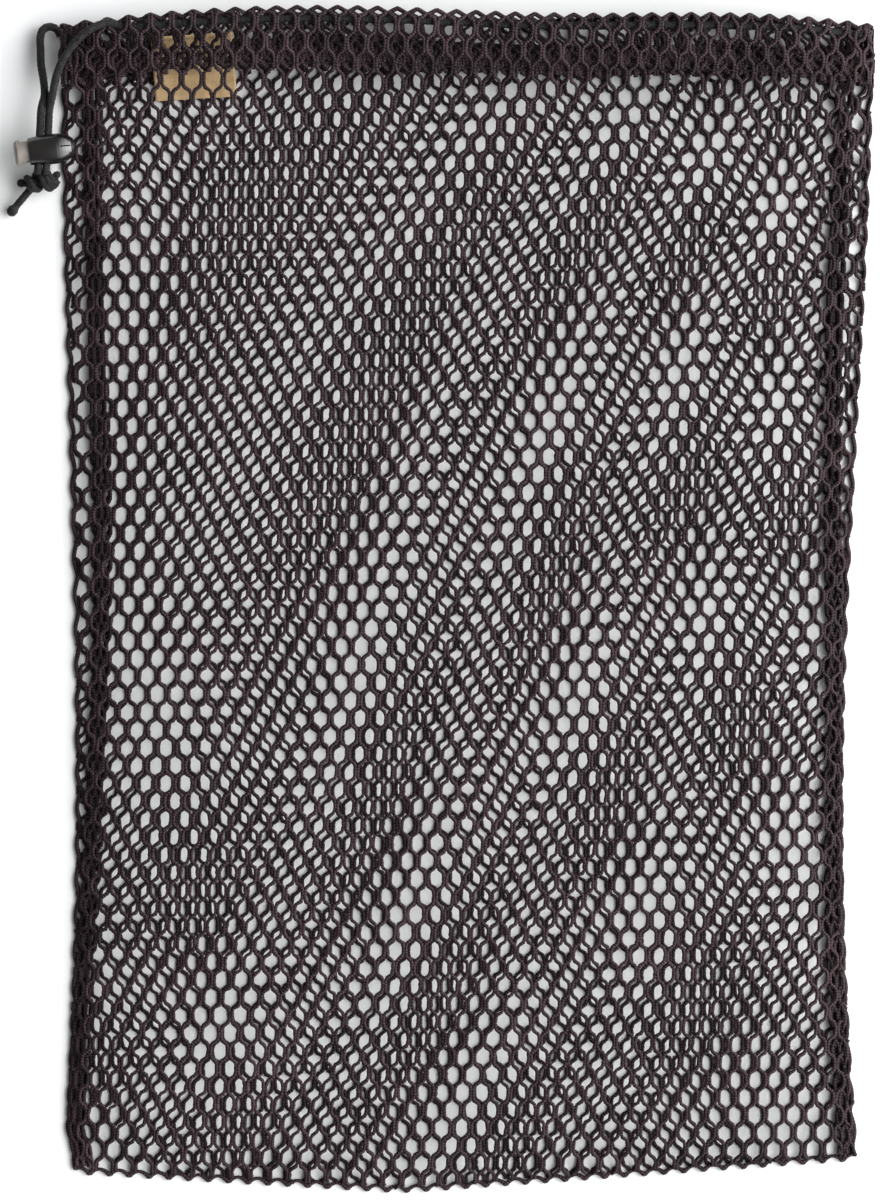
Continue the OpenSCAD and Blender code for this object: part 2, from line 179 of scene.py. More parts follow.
class Nodes:
    """A material under construction; settings name the shader's own sockets, with _ for spaces."""

    def __init__(self, name, **settings):
        self.material = bpy.data.materials.new(name)
        self.material.use_nodes = True
        self.tree = self.material.node_tree
        self.shader = self.tree.nodes["Principled BSDF"]
        for socket, value in settings.items():
            self.shader.inputs[socket.replace("_", " ")].default_value = value

    def add(self, kind, inputs=None, **settings):
        node = self.tree.nodes.new("ShaderNode" + kind)
        for key, value in settings.items():
            setattr(node, key, value)
        for key, value in (inputs or {}).items():
            if isinstance(value, bpy.types.NodeSocket):
                self.tree.links.new(value, node.inputs[key])
            else:
                node.inputs[key].default_value = value
        return node

    def place(self):
        return self.add("TexCoord").outputs["Object"]

    def noise(self, scale, detail=3, vector=None):
        vector = vector or self.place()
        return self.add("TexNoise", {"Vector": vector, "Scale": scale, "Detail": detail}).outputs["Fac"]

    def colours(self, factor, *stops):
        """Colour ramp of (position, colour) stops over factor."""
        ramp = self.add("ValToRGB", {"Fac": factor})
        elements = ramp.color_ramp.elements
        while len(elements) < len(stops):
            elements.new(0.5)
        for element, (position, colour) in zip(elements, stops):
            element.position = position
            element.color = (*colour, 1)
        self.tree.links.new(ramp.outputs["Color"], self.shader.inputs["Base Color"])
        return ramp.outputs["Color"]

    def math(self, operation, a, b=0.0):
        return self.add("Math", {0: a, 1: b}, operation=operation).outputs[0]

    def roughness(self, factor, low, high):
        spread = self.add("MapRange", {"Value": factor, "To Min": low, "To Max": high})
        self.tree.links.new(spread.outputs["Result"], self.shader.inputs["Roughness"])

    def bump(self, height, strength, distance):
        bump = self.add("Bump", {"Height": height, "Strength": strength, "Distance": distance})
        self.tree.links.new(bump.outputs["Normal"], self.shader.inputs["Normal"])


FIBRE_SCALE, PATCH_SCALE = 2600, 45
TAPE_THREADS = {"Scale": 620.0, "Distortion": 0.4}


def yarn_material(name, dark, light, stitch_mm, gloss, relief=0.12):
    """Textured filament yarn: stitches along the strand, single fibres, and slow changes of tone; the
    stitches are also painted into the colour, darker in their gaps as painted shade and lighter on their tops
    as painted highlight.
    """
    n = Nodes(name, Specular_IOR_Level=0.16)
    along = n.add("Attribute", attribute_name="along").outputs["Fac"]
    turns = n.math("MULTIPLY", along, 2 * math.pi / stitch_mm)
    stitches = n.math("SINE", turns)
    fibres = n.noise(FIBRE_SCALE, 4)
    patches = n.noise(PATCH_SCALE, 2)
    shade = n.math("ADD", n.math("MULTIPLY", fibres, 0.6), n.math("MULTIPLY", patches, 0.4))
    # relief weighs the painted stitch shade: the gaps between stitches are painted darker and their tops
    # lighter.
    shade = n.math("ADD", shade, n.math("MULTIPLY", stitches, relief))
    n.colours(shade, (0.3, dark), (0.52, [0.5 * (d + k) for d, k in zip(dark, light)]), (0.72, light))
    n.roughness(fibres, gloss, gloss + 0.25)
    height = n.math("ADD", n.math("MULTIPLY", stitches, 0.5), fibres)
    n.bump(height, 0.8, 0.00018)
    return n.material


def plastic_material(name, dark, light, low_rough, high_rough, shine=0.5):
    """Moulded acetal: slight mottle, a fine spark-eroded grain, and scuffs that change the gloss."""
    n = Nodes(name, Specular_IOR_Level=shine)
    mottle = n.noise(160, 4)
    n.colours(mottle, (0.35, dark), (0.7, light))
    n.roughness(n.noise(420, 5), low_rough, high_rough)
    n.bump(n.noise(2200, 3), 0.25, 0.00004)
    return n.material


def label_material():
    """Tan woven tape: warp and weft threads crossing, with a little unevenness."""
    n = Nodes("label_tape", Roughness=0.8, Sheen_Weight=0.2)
    place = n.place()
    warp = n.add("TexWave", {"Vector": place, **TAPE_THREADS}, bands_direction="X")
    weft = n.add("TexWave", {"Vector": place, **TAPE_THREADS}, bands_direction="Y")
    weave = n.math("MULTIPLY", warp.outputs["Fac"], weft.outputs["Fac"])
    shade = n.math("ADD", n.math("MULTIPLY", weave, 0.4), n.math("MULTIPLY", n.noise(220, 4), 0.6))
    n.colours(shade, (0.2, (0.55, 0.36, 0.17)), (0.5, (0.74, 0.51, 0.27)), (0.8, (0.86, 0.65, 0.38)))
    n.bump(weave, 0.5, 0.0001)
    return n.material


def steel_material():
    """Drawn steel wire, a little uneven in shade and gloss."""
    n = Nodes("spring_wire", Metallic=1.0)
    drawn = n.noise(900, 4)
    n.colours(drawn, (0.3, (0.45, 0.45, 0.47)), (0.7, (0.72, 0.72, 0.74)))
    n.roughness(drawn, 0.2, 0.4)
    return n.material


# Every yarn below has painted stitch shade; the braided cord's is strongest and paints its ribs, lighter tops
# as painted highlight and darker hollows as painted shade.
NET_YARN = yarn_material("black_net", (0.004, 0.0018, 0.0023), (0.05, 0.029, 0.033), 1.15, 0.45)
THREAD = yarn_material("black_thread", (0.004, 0.003, 0.0032), (0.022, 0.017, 0.018), 0.5, 0.5)
CORD_YARN = yarn_material("braided_cord", (0.002, 0.0018, 0.0018), (0.034, 0.032, 0.034), 1.3, 0.36, 0.3)
LABEL = label_material()
LABEL_THREAD = yarn_material("label_thread", (0.28, 0.2, 0.12), (0.5, 0.38, 0.25), 0.5, 0.6)
BARREL = plastic_material("lock_barrel", (0.004, 0.003, 0.0025), (0.008, 0.007, 0.006), 0.17, 0.27, 0.85)
BUTTON = plastic_material("lock_button", (0.15, 0.13, 0.115), (0.23, 0.205, 0.18), 0.4, 0.55)
STEEL = steel_material()


# ---- Mesh making ----

def unit(a):
    """Each vector at length 1."""
    return a / np.maximum(np.linalg.norm(a, axis=-1, keepdims=True), 1e-9)


def tube(points, ups, across, thick, sides):
    """One strand: rings of points about a path, an ellipse that lies flat to ups, closed at both ends."""
    way = unit(np.gradient(points, axis=0))
    side = unit(np.cross(ups, way))
    up = np.cross(way, side)
    angles = 2 * math.pi * (np.arange(sides) + 0.5) / sides
    across = np.broadcast_to(across, len(points))[:, None, None]
    thick = np.broadcast_to(thick, len(points))[:, None, None]
    rings = (
        points[:, None]
        + across * np.cos(angles)[None, :, None] * side[:, None]
        + thick * np.sin(angles)[None, :, None] * up[:, None]
    )
    along = np.concatenate([[0], np.cumsum(np.linalg.norm(np.diff(points, axis=0), axis=1))])
    return rings, np.repeat(along, sides)


def ring_faces(count, sides, base):
    """Faces of one tube whose first point has the number base, with both ends closed."""
    ring = np.arange(sides)
    one = np.stack([ring, (ring + 1) % sides, (ring + 1) % sides + sides, ring + sides], axis=1)
    quads = (base + one[None] + (np.arange(count - 1) * sides)[:, None, None]).reshape(-1, 4)
    caps = [(base + ring[::-1]).tolist(), (base + (count - 1) * sides + ring).tolist()]
    return quads.tolist() + caps


def mesh_piece(name, vertices, faces, material, along=None):
    """A smooth mesh object from points in millimetres."""
    mesh = bpy.data.meshes.new(name)
    mesh.from_pydata((np.asarray(vertices) * MM).tolist(), [], faces)
    mesh.update()
    mesh.polygons.foreach_set("use_smooth", np.ones(len(mesh.polygons), bool))
    if along is not None:
        mesh.attributes.new("along", "FLOAT", "POINT").data.foreach_set("value", along.astype(np.float32))
    mesh.materials.append(material)
    piece = bpy.data.objects.new(name, mesh)
    bpy.context.scene.collection.objects.link(piece)
    return piece


def strands_piece(name, strands, material):
    """One object of many tubes; each strand is (rings, along)."""
    vertices, faces, alongs, base = [], [], [], 0
    for rings, along in strands:
        count, sides = rings.shape[:2]
        vertices.append(rings.reshape(-1, 3))
        faces += ring_faces(count, sides, base)
        alongs.append(along)
        base += count * sides
    return mesh_piece(name, np.concatenate(vertices), faces, material, np.concatenate(alongs))


# ---- Drawcord ----

CORD_D = 3
BRAID_D = 3.2  # across the ribs, so that the braid with its hollows is CORD_D on average
BRAID_STEP = 0.3
BRAID_SIDES = 28
BRAID_STARTS = 6
BRAID_LEAD = 11
BRAID_RELIEF, BRAID_HOLLOW = 0.2, 0.6
RUN_STEP, RUN_SIDES, RUN_STARTS = 0.8, 12, 4  # for the runs inside the casing


def through(stops, step):
    """A smooth path through the stops, with points about step apart."""
    stops = np.array(stops, float)
    gaps = np.linalg.norm(np.diff(stops, axis=0), axis=1)
    at = np.concatenate([[0], np.cumsum(gaps)])
    slope = np.gradient(stops, at, axis=0)
    s = np.linspace(0, at[-1], max(3, int(at[-1] / step) + 1))
    i = np.clip(np.searchsorted(at, s, side="right") - 1, 0, len(gaps) - 1)
    h = gaps[i][:, None]
    t = ((s - at[i]) / gaps[i])[:, None]
    return (
        (2 * t**3 - 3 * t**2 + 1) * stops[i]
        + (t**3 - 2 * t**2 + t) * h * slope[i]
        + (-2 * t**3 + 3 * t**2) * stops[i + 1]
        + (t**3 - t**2) * h * slope[i + 1]
    )


def carried_ups(path):
    """A direction square to the path at each point, carried along it without twist."""
    way = unit(np.gradient(path, axis=0))
    ups = np.zeros_like(path)
    up = np.array([0.0, 0.0, 1.0])
    if abs(way[0] @ up) > 0.9:
        up = np.array([0.0, 1.0, 0.0])
    for i, w in enumerate(way):
        up = up - (up @ w) * w
        up = up / np.linalg.norm(up)
        ups[i] = up
    return ups


def braid(path, diameter=CORD_D, sides=BRAID_SIDES, starts=BRAID_STARTS, ends=None):
    """A round braid: two sets of ribs wind opposite ways and pass over and under each other."""
    rings, along = tube(path, carried_ups(path), diameter / 2, diameter / 2, sides)
    s = along.reshape(-1, sides)
    angle = 2 * math.pi * (np.arange(sides) + 0.5) / sides
    turn = 2 * math.pi * s / BRAID_LEAD
    right = np.abs(np.cos(starts * (angle + turn) / 2))
    left = np.abs(np.cos(starts * (angle - turn) / 2))
    over = 0.5 + 0.5 * np.sin(starts * angle) * np.sin(starts * turn)
    relief = BRAID_RELIEF * (np.maximum(right * over, left * (1 - over)) - BRAID_HOLLOW)
    swell = 1 + relief
    if ends is not None:
        swell = swell * ends(s / s.max())
    # The along values slant with the ribs, so that the cord material's stitch term paints each rib's top
    # lighter as painted highlight and its hollows darker as painted shade.
    painted_rib_slant = np.where(over > 0.5, 1, -1) * angle * diameter / 4
    return path[:, None] + (rings - path[:, None]) * swell[:, :, None], (s + painted_rib_slant).ravel()


# Places below are from CORNER, the lower left end of the casing
CORNER = np.array([-MOUTH_HALF, casing_low(-MOUTH_HALF), 0])
LOCK_CENTRE = CORNER + (-2.4, -24.2, 9.6)
LOCK_TILT, LOCK_PITCH, SLOT_SKEW = (math.radians(a) for a in (8, 8, 11))
LOCK_LEN = 18.4
PAIR_FROM_END = 12.9
CLOSED_WAY = np.array([
    math.cos(LOCK_TILT) * math.cos(LOCK_PITCH),
    math.sin(LOCK_TILT) * math.cos(LOCK_PITCH),
    -math.sin(LOCK_PITCH),
])
SIDE_WAY = np.array([-math.sin(LOCK_TILT), math.cos(LOCK_TILT), 0])
CORD_WAY = math.sin(SLOT_SKEW) * CLOSED_WAY + math.cos(SLOT_SKEW) * SIDE_WAY
PAIR_WAY = math.cos(SLOT_SKEW) * CLOSED_WAY - math.sin(SLOT_SKEW) * SIDE_WAY
PAIR_CENTRE = LOCK_CENTRE + (LOCK_LEN / 2 - PAIR_FROM_END) * CLOSED_WAY
STRAND_APART = CORD_D / 2 + 0.05
STRAIGHT_STOPS = (-9.5, -5, 0, 5, 10, 15.5)
STRAND_A_ROUTE = ((-5.6, -3, 8.2), (-6.2, 3, 6.8), (-7.25, 9, 5.6), (-7.46, 14, 4.9))
LOOP_CENTRE, LOOP_R, LOOP_TURN = (-3.9, 20), 3.6, 140
LOOP_FROM_Z, LOOP_TO_Z, LOOP_STOPS = 4.4, 2.6, 5
STRAND_B_ROUTE = (
    (-2.4, -3.6, 10.6), (-1, 2.6, 11.8), (1.2, 8.4, 12.8), (4.4, 13.6, 13.6),
    (8.4, 18, 14.3), (13.2, 21.6, 14.4), (18, 23.6, 13.2),
)
BACK_HIGH, BACK_LOW, FRONT_HIGH = 20.2, 11.8, 19.2
BACK_RISE_FROM = -110
TURN_X, EXIT_X = 149.5, -131
BACK_STOPS, TURN_STOPS, FRONT_STOPS = 26, 9, 24
CORD_Z = CASING_T / 2


def straight(side):
    """The strand's stops through the lock; side is -1 for strand A and 1 for strand B."""
    return [PAIR_CENTRE + side * STRAND_APART * PAIR_WAY + t * CORD_WAY for t in STRAIGHT_STOPS]


def casing_loop():
    """Strand A's stops round its loop outside the casing's left end, from the left over the top."""
    turned = np.radians(np.linspace(0, LOOP_TURN, LOOP_STOPS))
    x = LOOP_CENTRE[0] - LOOP_R * np.cos(turned)
    y = LOOP_CENTRE[1] + LOOP_R * np.sin(turned)
    return np.stack([x, y, np.linspace(LOOP_FROM_Z, LOOP_TO_Z, LOOP_STOPS)], axis=1)


def back_offset(x):
    """Height of the cord above the back casing's lower edge: it climbs to the left end."""
    rise = (BACK_RISE_FROM - x) / (MOUTH_HALF + BACK_RISE_FROM)
    return BACK_LOW + np.where(x < BACK_RISE_FROM, (BACK_HIGH - BACK_LOW) * rise**2, 0)


def cord_runs():
    """Stops of the drawcord's two runs in the casing and of its turn round the right side."""
    xs = np.linspace(-MOUTH_HALF, TURN_X, BACK_STOPS)
    back = np.stack([xs, casing_low(xs) + back_offset(xs), np.full_like(xs, CORD_Z)], axis=1)
    xs = np.linspace(TURN_X, EXIT_X, FRONT_STOPS)
    front = np.stack([xs, casing_low(xs) + FRONT_HIGH, arch(xs) + CORD_Z], axis=1)
    centre = (back[-1] + front[0]) / 2
    radius = np.linalg.norm(front[0] - back[-1]) / 2
    toward = (front[0] - back[-1]) / (2 * radius)
    turn = [
        centre + radius * (math.cos(a) * np.array([1, 0, 0]) + math.sin(a) * toward)
        for a in np.radians(np.linspace(-90, 90, TURN_STOPS))
    ]
    return back, np.array(turn), front


def cord_piece(name, path, **shape):
    """One stretch of the drawcord, which stands for the CAD node of that name."""
    piece = strands_piece(name + "_braid", [braid(path, **shape)], CORD_YARN)
    stand_in(piece, "braided_cord", name)
    return piece


def free_strand(name, path):
    """One of the two strands between the casing and the knot."""
    piece = cord_piece(name, path, diameter=BRAID_D)


KNOT_CENTRE = CORNER + (-6.6, -36, 5.7)
KNOT_HALF_LEN, KNOT_HALF_D = 7.6, 4.8
KNOT_WAY = np.array([math.cos(LOCK_TILT), math.sin(LOCK_TILT), 0])
KNOT_ACROSS = np.array([-math.sin(LOCK_TILT), math.cos(LOCK_TILT), 0])
KNOT_TURNS = 1.35
KNOT_STRAND_D, KNOT_CORE_D, KNOT_SIDES = 2.9, 4.4, 20
KNOT_REACH, KNOT_DRAWN_IN, KNOT_UNEVEN = 0.9, 0.72, 0.15
KNOT_WRAPS = ((0.6, -0.4), (0.6 + math.pi, 0.4), (0.6 + math.pi / 2, 0))  # first angle, and shift along it
TAIL_FROM, TAIL_TO, TAIL_BULB_D = (-11, -38.5, 3.4), (-18.6, -47.4, 2.3), 4.4
STUB_FROM, STUB_TO, STUB_BULB_D = (-11.5, -36.6, 4), (-15, -36.8, 3.6), 3.4
END_STEP, END_SIDES, END_HUMP = 0.25, 20, 0.4


def knot_wrap(start_angle, shift):
    """One strand's wrap round the knot's long axis, drawn in at both ends."""
    t = np.linspace(-1, 1, 120)
    reach = (KNOT_HALF_LEN - KNOT_STRAND_D / 2) * t * KNOT_REACH + shift
    radius = (KNOT_HALF_D - KNOT_STRAND_D / 2) * np.sqrt(1 - KNOT_DRAWN_IN * t**2)
    radius = radius + KNOT_UNEVEN * np.sin(5 * t)
    angle = start_angle + 2 * math.pi * KNOT_TURNS * (t + 1) / 2
    return (
        KNOT_CENTRE
        + reach[:, None] * KNOT_WAY
        + (radius * np.cos(angle))[:, None] * KNOT_ACROSS
        + (radius * np.sin(angle))[:, None] * np.array([0, 0, 1])
    )


def make_knot():
    """An overhand knot of both strands, drawn tight: doubled wraps round the strands' own core."""
    strands = [braid(knot_wrap(angle, shift), KNOT_STRAND_D, KNOT_SIDES) for angle, shift in KNOT_WRAPS]
    core = through([KNOT_CENTRE + t * KNOT_WAY for t in (-6, -3, 0, 3, 6)], 0.4)
    strands.append(braid(core, KNOT_CORE_D, KNOT_SIDES))
    knot = strands_piece("knot_wraps", strands, CORD_YARN)
    stand_in(knot, "braided_cord", "drawcord_knot")
    return knot


def cut_end(name, start, end, bulb_d):
    """A short tail of braid whose end is melted to a bulb."""
    start, end = CORNER + start, CORNER + end
    reach = end + unit(end - start) * bulb_d / 2
    middle = (start + reach) / 2 + (0, 0, END_HUMP)
    path = through([start, middle, reach], END_STEP)
    length = np.linalg.norm(reach - start)
    bulb_from = 1 - bulb_d / length

    def melted(s):
        into = np.clip((s - bulb_from) / (1 - bulb_from), 0, 1)
        swell = 1 + (bulb_d / CORD_D - 1) * np.sin(math.pi * np.clip(into, 0, 0.5))
        return swell * np.sqrt(np.maximum(1 - np.maximum(2 * into - 1, 0) ** 2, 0.01))

    return cord_piece(name, path, ends=melted, sides=END_SIDES)


def make_drawcord():
    knot = make_knot()
    tail = cut_end("drawcord_tail", TAIL_FROM, TAIL_TO, TAIL_BULB_D)
    stub = cut_end("drawcord_stub", STUB_FROM, STUB_TO, STUB_BULB_D)
    back, turn, front = cord_runs()
    rise = (*STRAND_A_ROUTE, *casing_loop())
    strand_a = through([*straight(-1), *(CORNER + p for p in rise), back[0]], BRAID_STEP)
    strand_b = through([*straight(1), *(CORNER + p for p in STRAND_B_ROUTE), front[-1]], BRAID_STEP)
    free_strand("drawcord_strand_a", strand_a[::-1])
    free_strand("drawcord_strand_b", strand_b[::-1])
    for name, stops in (("back_run", back), ("side_turn", turn), ("front_run", front)):
        path = through(stops, RUN_STEP)
        cord_piece(f"drawcord_{name}", path, diameter=BRAID_D, sides=RUN_SIDES, starts=RUN_STARTS)


make_drawcord()


# ---- Cord lock ----
# The barrel and button are the CAD's own shapes. The spring is a coil; the real one shortens as the button is
# pressed.
# Places along the lock are from the barrel's nose, as in the CAD.

SPRING_D, WIRE_D, SPRING_TURNS = 3.6, 0.45, 5
WIRE_SIDES, POINTS_A_TURN = 10, 36
PRESS = 3.0
POCKET_FROM, BORE_FROM = 1.6, 3.8
SHANK_GAP, SHANK_RECESS, SPRING_GAP = 0.2, 0.4, 0.05
SPRING_FROM = POCKET_FROM + SPRING_GAP
SPRING_TO = BORE_FROM + PRESS + SHANK_GAP + SHANK_RECESS - SPRING_GAP


def finish_node(node, material):
    """Gives a CAD shape that stays its own material."""
    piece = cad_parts[node]
    piece.data.materials.clear()
    piece.data.materials.append(material)


def make_spring():
    """A coil between the barrel's closed end and the plunger."""
    t = np.linspace(0, 1, POINTS_A_TURN * SPRING_TURNS)
    angle = 2 * math.pi * SPRING_TURNS * t
    centre = (SPRING_FROM + SPRING_TO) / 2 + (SPRING_TO - SPRING_FROM - WIRE_D) * (t - 0.5)
    radius = (SPRING_D - WIRE_D) / 2
    up = np.cross(CLOSED_WAY, SIDE_WAY)
    path = (
        LOCK_CENTRE
        + (LOCK_LEN / 2 - centre)[:, None] * CLOSED_WAY
        + radius * np.cos(angle)[:, None] * SIDE_WAY
        + radius * np.sin(angle)[:, None] * up
    )
    wire = tube(path, carried_ups(path), WIRE_D / 2, WIRE_D / 2, WIRE_SIDES)
    coil = strands_piece("lock_spring_coil", [wire], STEEL)
    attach(coil, "lock")
    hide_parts("lock_spring")
    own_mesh(coil)


finish_node("lock_body", BARREL)
finish_node("lock_plunger", BUTTON)
make_spring()


# ---- Net ----
# A raschel net is made of wales, chains of loops that run up the cloth. Each wale swings from side to side
# every row and is tied to its neighbour at the end of each swing, which leaves rounded six-sided holes.

WALE = 3.83
ROW = 6.9
SWING = 0.377
SWING_SQUARE = 2.6
POINTS_A_ROW = 6
STRAND_W = 0.83
STRAND_T = 0.34
STRAND_SIDES = 6
STRAND_WANDER = 0.07
STRAND_SPREAD = (0.82, 1.16)
LEAN = 0.019
ROW_TILT = 0.0126

# The two nets are stretched a little differently, and the moire comes from this. Below is how far the front
# one is ahead of the back one, in wales and in rows, as a curve over the bag's half width and half height.
HALF_W, HALF_H = 150, 215
AHEAD_WALES, WALES_BOW = 1.1, 0.95
WALES_ACROSS, WALES_EASE = 5.25, -2.2
WALES_UP, WALES_UP_EASE = -3, -0.5
WALES_TWIST, WALES_CURL, WALES_FAN = -1.5, -2.05, 1
AHEAD_ROWS, ROWS_SAG = -0.53, -0.55
ROWS_ACROSS, ROWS_EASE = -1.9, -0.45
ROWS_UP, ROWS_UP_EASE, ROWS_BOW = -0.47, 0.65, 0.85
ROWS_TWIST, ROWS_FAN = -0.65, -1


def ahead(x, y):
    """How many wales and rows the front net is ahead of the back net at a place."""
    x = np.clip(x / HALF_W, -1.05, 1.05)
    y = np.clip(y / HALF_H, -1.05, 1.05)
    wales = AHEAD_WALES + WALES_BOW * x**2 + WALES_ACROSS * x + WALES_EASE * x**3 + WALES_UP * y
    wales = wales + WALES_UP_EASE * y**3 + WALES_TWIST * x * y + WALES_CURL * x * y**2 + WALES_FAN * x**2 * y
    rows = AHEAD_ROWS + ROWS_SAG * x**2 + ROWS_ACROSS * x + ROWS_EASE * x**3 + ROWS_UP * y
    rows = rows + ROWS_UP_EASE * y**3 + ROWS_BOW * y**2 + ROWS_TWIST * x * y + ROWS_FAN * x**2 * y
    return wales, rows


def lay_net(wale, row, share):
    """Where the cloth's wale and row lie on the bag, before the cloth is folded at the mouth."""
    x, y = WALE * wale, -ROW * row
    for _ in range(LAY_ROUNDS):
        wales, rows = ahead(x, y)
        x = WALE * (wale - share * wales) + LEAN * y
        y = -ROW * (row - share * rows) + ROW_TILT * x
    return x, y


def swing(row):
    """-1 to 1: which neighbour the wale leans to, held a while at each side."""
    return np.tanh(SWING_SQUARE * np.sin(math.pi * row)) / math.tanh(SWING_SQUARE)


TURN_R = (CASING_T - CLOTH_T) / 2
ARC_FROM = CASING_H - TURN_R
ARC_LEN = math.pi * TURN_R
INNER_LEN = ARC_FROM - 1
BLEND_BELOW = 2.5
FOLD_LEAN, TURN_LEAN = 0.19, -0.3
TURN_GATHER = 1.2
TURN_LIFT = CLOTH_T + 0.05
# The turned edge is crumpled, so it lies over itself with these shifts
CRUMPLES = (
    (0, 0, 0), (-0.5 * WALE, 0.3 * ROW, 0.15), (0.4 * WALE, -0.2 * ROW, 0.08), (0.9 * WALE, 0.1 * ROW, 0.2),
)
WALE_NUMBERS = range(-50, 51)
ROW_SPAN, EDGE_SPAN, EDGE_STEP = (-41, 38), (-44, 44), 0.125  # in rows, and in wales along the mouth
LAY_ROUNDS = 6
END_EDGE = 0.6
SCALLOP = 1.1
SCALLOP_REACH = 2.5
EDGE_W, EDGE_T = 0.95, 0.8
PANEL, CASING, TURNED = 0, 1, 2
FRONT, BACK = 0.5, -0.5


def smooth_step(t):
    t = np.clip(t, 0, 1)
    return t * t * (3 - 2 * t)


def stack_t(e):
    """Thickness of the casing at a height above its lower edge."""
    return HEM_T + (CASING_T - HEM_T) * np.clip((e - SLOPE_FROM) / (SLOPE_TO - SLOPE_FROM), 0, 1)


def fold_cloth(x, y, share, scallop):
    """Folds the cloth round the mouth: down inside the casing and up again under the hem.

    Gives each point's place, the cloth's outward direction there, and which part of the bag it is.
    """
    e = y - casing_low(x)
    arc = np.clip(e - ARC_FROM, 0, ARC_LEN) / TURN_R
    inside = np.clip(e - ARC_FROM - ARC_LEN, 0, INNER_LEN)
    turned = np.maximum(e - ARC_FROM - ARC_LEN - INNER_LEN, 0)
    height = np.minimum(e, ARC_FROM) + TURN_R * np.sin(arc) - inside + turned
    height = height + scallop * np.exp(-(((height - CASING_H) / SCALLOP_REACH) ** 2))
    top = 0.5 + 0.5 * np.cos(arc)
    half = CLOTH_T / 2
    stack = stack_t(np.clip(height, 0, CASING_H)) - CLOTH_T
    if share == FRONT:
        outer = np.where(e < 0, front_z(x, y), arch(x) + half)
        outer = outer + stack * smooth_step((e + BLEND_BELOW) / (BLEND_BELOW + 0.5))
        inner = arch(x) + half
        turn_z = inner + TURN_LIFT * np.minimum(turned, 1)
    else:
        outer = np.full_like(x, half)
        inner = half + stack
        turn_z = inner - TURN_LIFT * np.minimum(turned, 1)
    z = np.where(turned > 0, turn_z, inner + (outer - inner) * top)
    part = np.where(turned > 0, TURNED, np.where(e > 0, CASING, PANEL))
    ups = np.stack([np.zeros_like(x), np.sin(arc), np.cos(arc)], axis=1)
    if share == BACK:
        ups[:, 2] *= -1
    x = x + FOLD_LEAN * inside + TURN_LEAN * turned
    return np.stack([x, casing_low(x) + height, z], axis=1), ups, part


def on_bag(x, y):
    """Whether a place on the unfolded cloth is inside the bag's outline."""
    v = down(x, y)
    side = np.where(v > 0, side_x(x > 0, np.clip(v, 0, 1)) - STRAND_W, MOUTH_HALF - END_EDGE)
    return (np.abs(x) < side) & (v < 1.001)


def runs(keep):
    """First and last + 1 of each stretch of True that is long enough for a strand."""
    edges = np.flatnonzero(np.diff(np.concatenate([[0], keep.astype(int), [0]])))
    return [(a, b) for a, b in zip(edges[::2], edges[1::2]) if b - a >= 3]


def peaks(place):
    """-1 to 1 and back over every two wales, in straight slopes."""
    return 2 / math.pi * np.arcsin(0.97 * np.cos(math.pi * (place - 0.5)))


def flat_strand(points, width=STRAND_W, thick=STRAND_T):
    """A strand of net that lies flat along its whole length."""
    return tube(points, np.tile([0, 0, 1.0], (len(points), 1)), width, thick, STRAND_SIDES)


def mouth_edge(share):
    """The fold at the mouth: the wales' turns draw it into a dense zigzag."""
    place = np.arange(*EDGE_SPAN, EDGE_STEP)
    x = WALE * place
    for _ in range(LAY_ROUNDS):
        y = casing_low(x) + ARC_FROM + ARC_LEN / 2
        x = WALE * (place - share * ahead(x, y)[0]) + LEAN * y
    inside = np.abs(x) < MOUTH_HALF - END_EDGE
    points, _, _ = fold_cloth(x[inside], y[inside], share, SCALLOP * peaks(place[inside]))
    points[:, 1] -= EDGE_W / 2
    return flat_strand(points, EDGE_W, EDGE_T)


def leans(k):
    """Which way a strand swings first: every other one the other way."""
    return 1 if k % 2 == 0 else -1


def net_layer(share):
    """Every strand of one panel's cloth: {part: [(wale, points, ups)]}."""
    made = {PANEL: [], CASING: [], TURNED: []}
    row = np.arange(*ROW_SPAN, 1 / POINTS_A_ROW) + 0.5 / POINTS_A_ROW
    for wale in WALE_NUMBERS:
        place = wale + SWING * leans(wale) * swing(row)
        x, y = lay_net(place, row, share)
        scallop = SCALLOP * peaks(place)
        points, ups, part = fold_cloth(x, y, share, scallop)
        keep = on_bag(x, y) & (y < casing_low(x) + ARC_FROM + ARC_LEN + INNER_LEN + TURN_W)
        keep = keep & (np.abs(points[:, 0]) < MOUTH_HALF - END_EDGE)
        for kind in made:
            for a, b in runs(keep & (part == kind)):
                joined = a > 0 and keep[a - 1]
                a = a - 1 if joined else a
                made[kind].append((wale, points[a:b], ups[a:b]))
    return made


def net_strands(made, gather=1.0):
    """Tubes whose path and width wander a little from stitch to stitch; gather thickens crumpled cloth."""
    strands = []
    for _, points, ups in made:
        wander = random.normal(0, STRAND_WANDER, points.shape)
        wander[:, 2] = np.abs(wander[:, 2])
        wander[[0, -1]] = 0
        width = gather * STRAND_W * random.uniform(*STRAND_SPREAD, len(points))
        strands.append(tube(points + wander, ups, width, STRAND_T, STRAND_SIDES))
    return strands


STRIPS = 4


def net_trim(name, strands, nodes=()):
    """A narrow piece of net, which goes with a panel."""
    piece = strands_piece(name, strands, NET_YARN)
    stand_in(piece, "black_net", *nodes)
    return piece


def net_piece(name, strands, nodes):
    """A piece of net cloth."""
    piece = net_trim(name, strands, nodes)


def panel_strips(name, made, nodes):
    """One panel as a few strips of wales side by side."""
    wales = sorted({wale for wale, _, _ in made})
    bounds = np.linspace(wales[0], wales[-1] + 1, STRIPS + 1)
    for i in range(STRIPS):
        mine = [m for m in made if bounds[i] <= m[0] < bounds[i + 1]]
        net_piece(f"{name}_net_{i + 1}", net_strands(mine), nodes)


EDGE_SWING = 0.6
EDGE_POINTS, ALLOWANCE_POINTS, FOLD_POINTS = 420, 430, 900


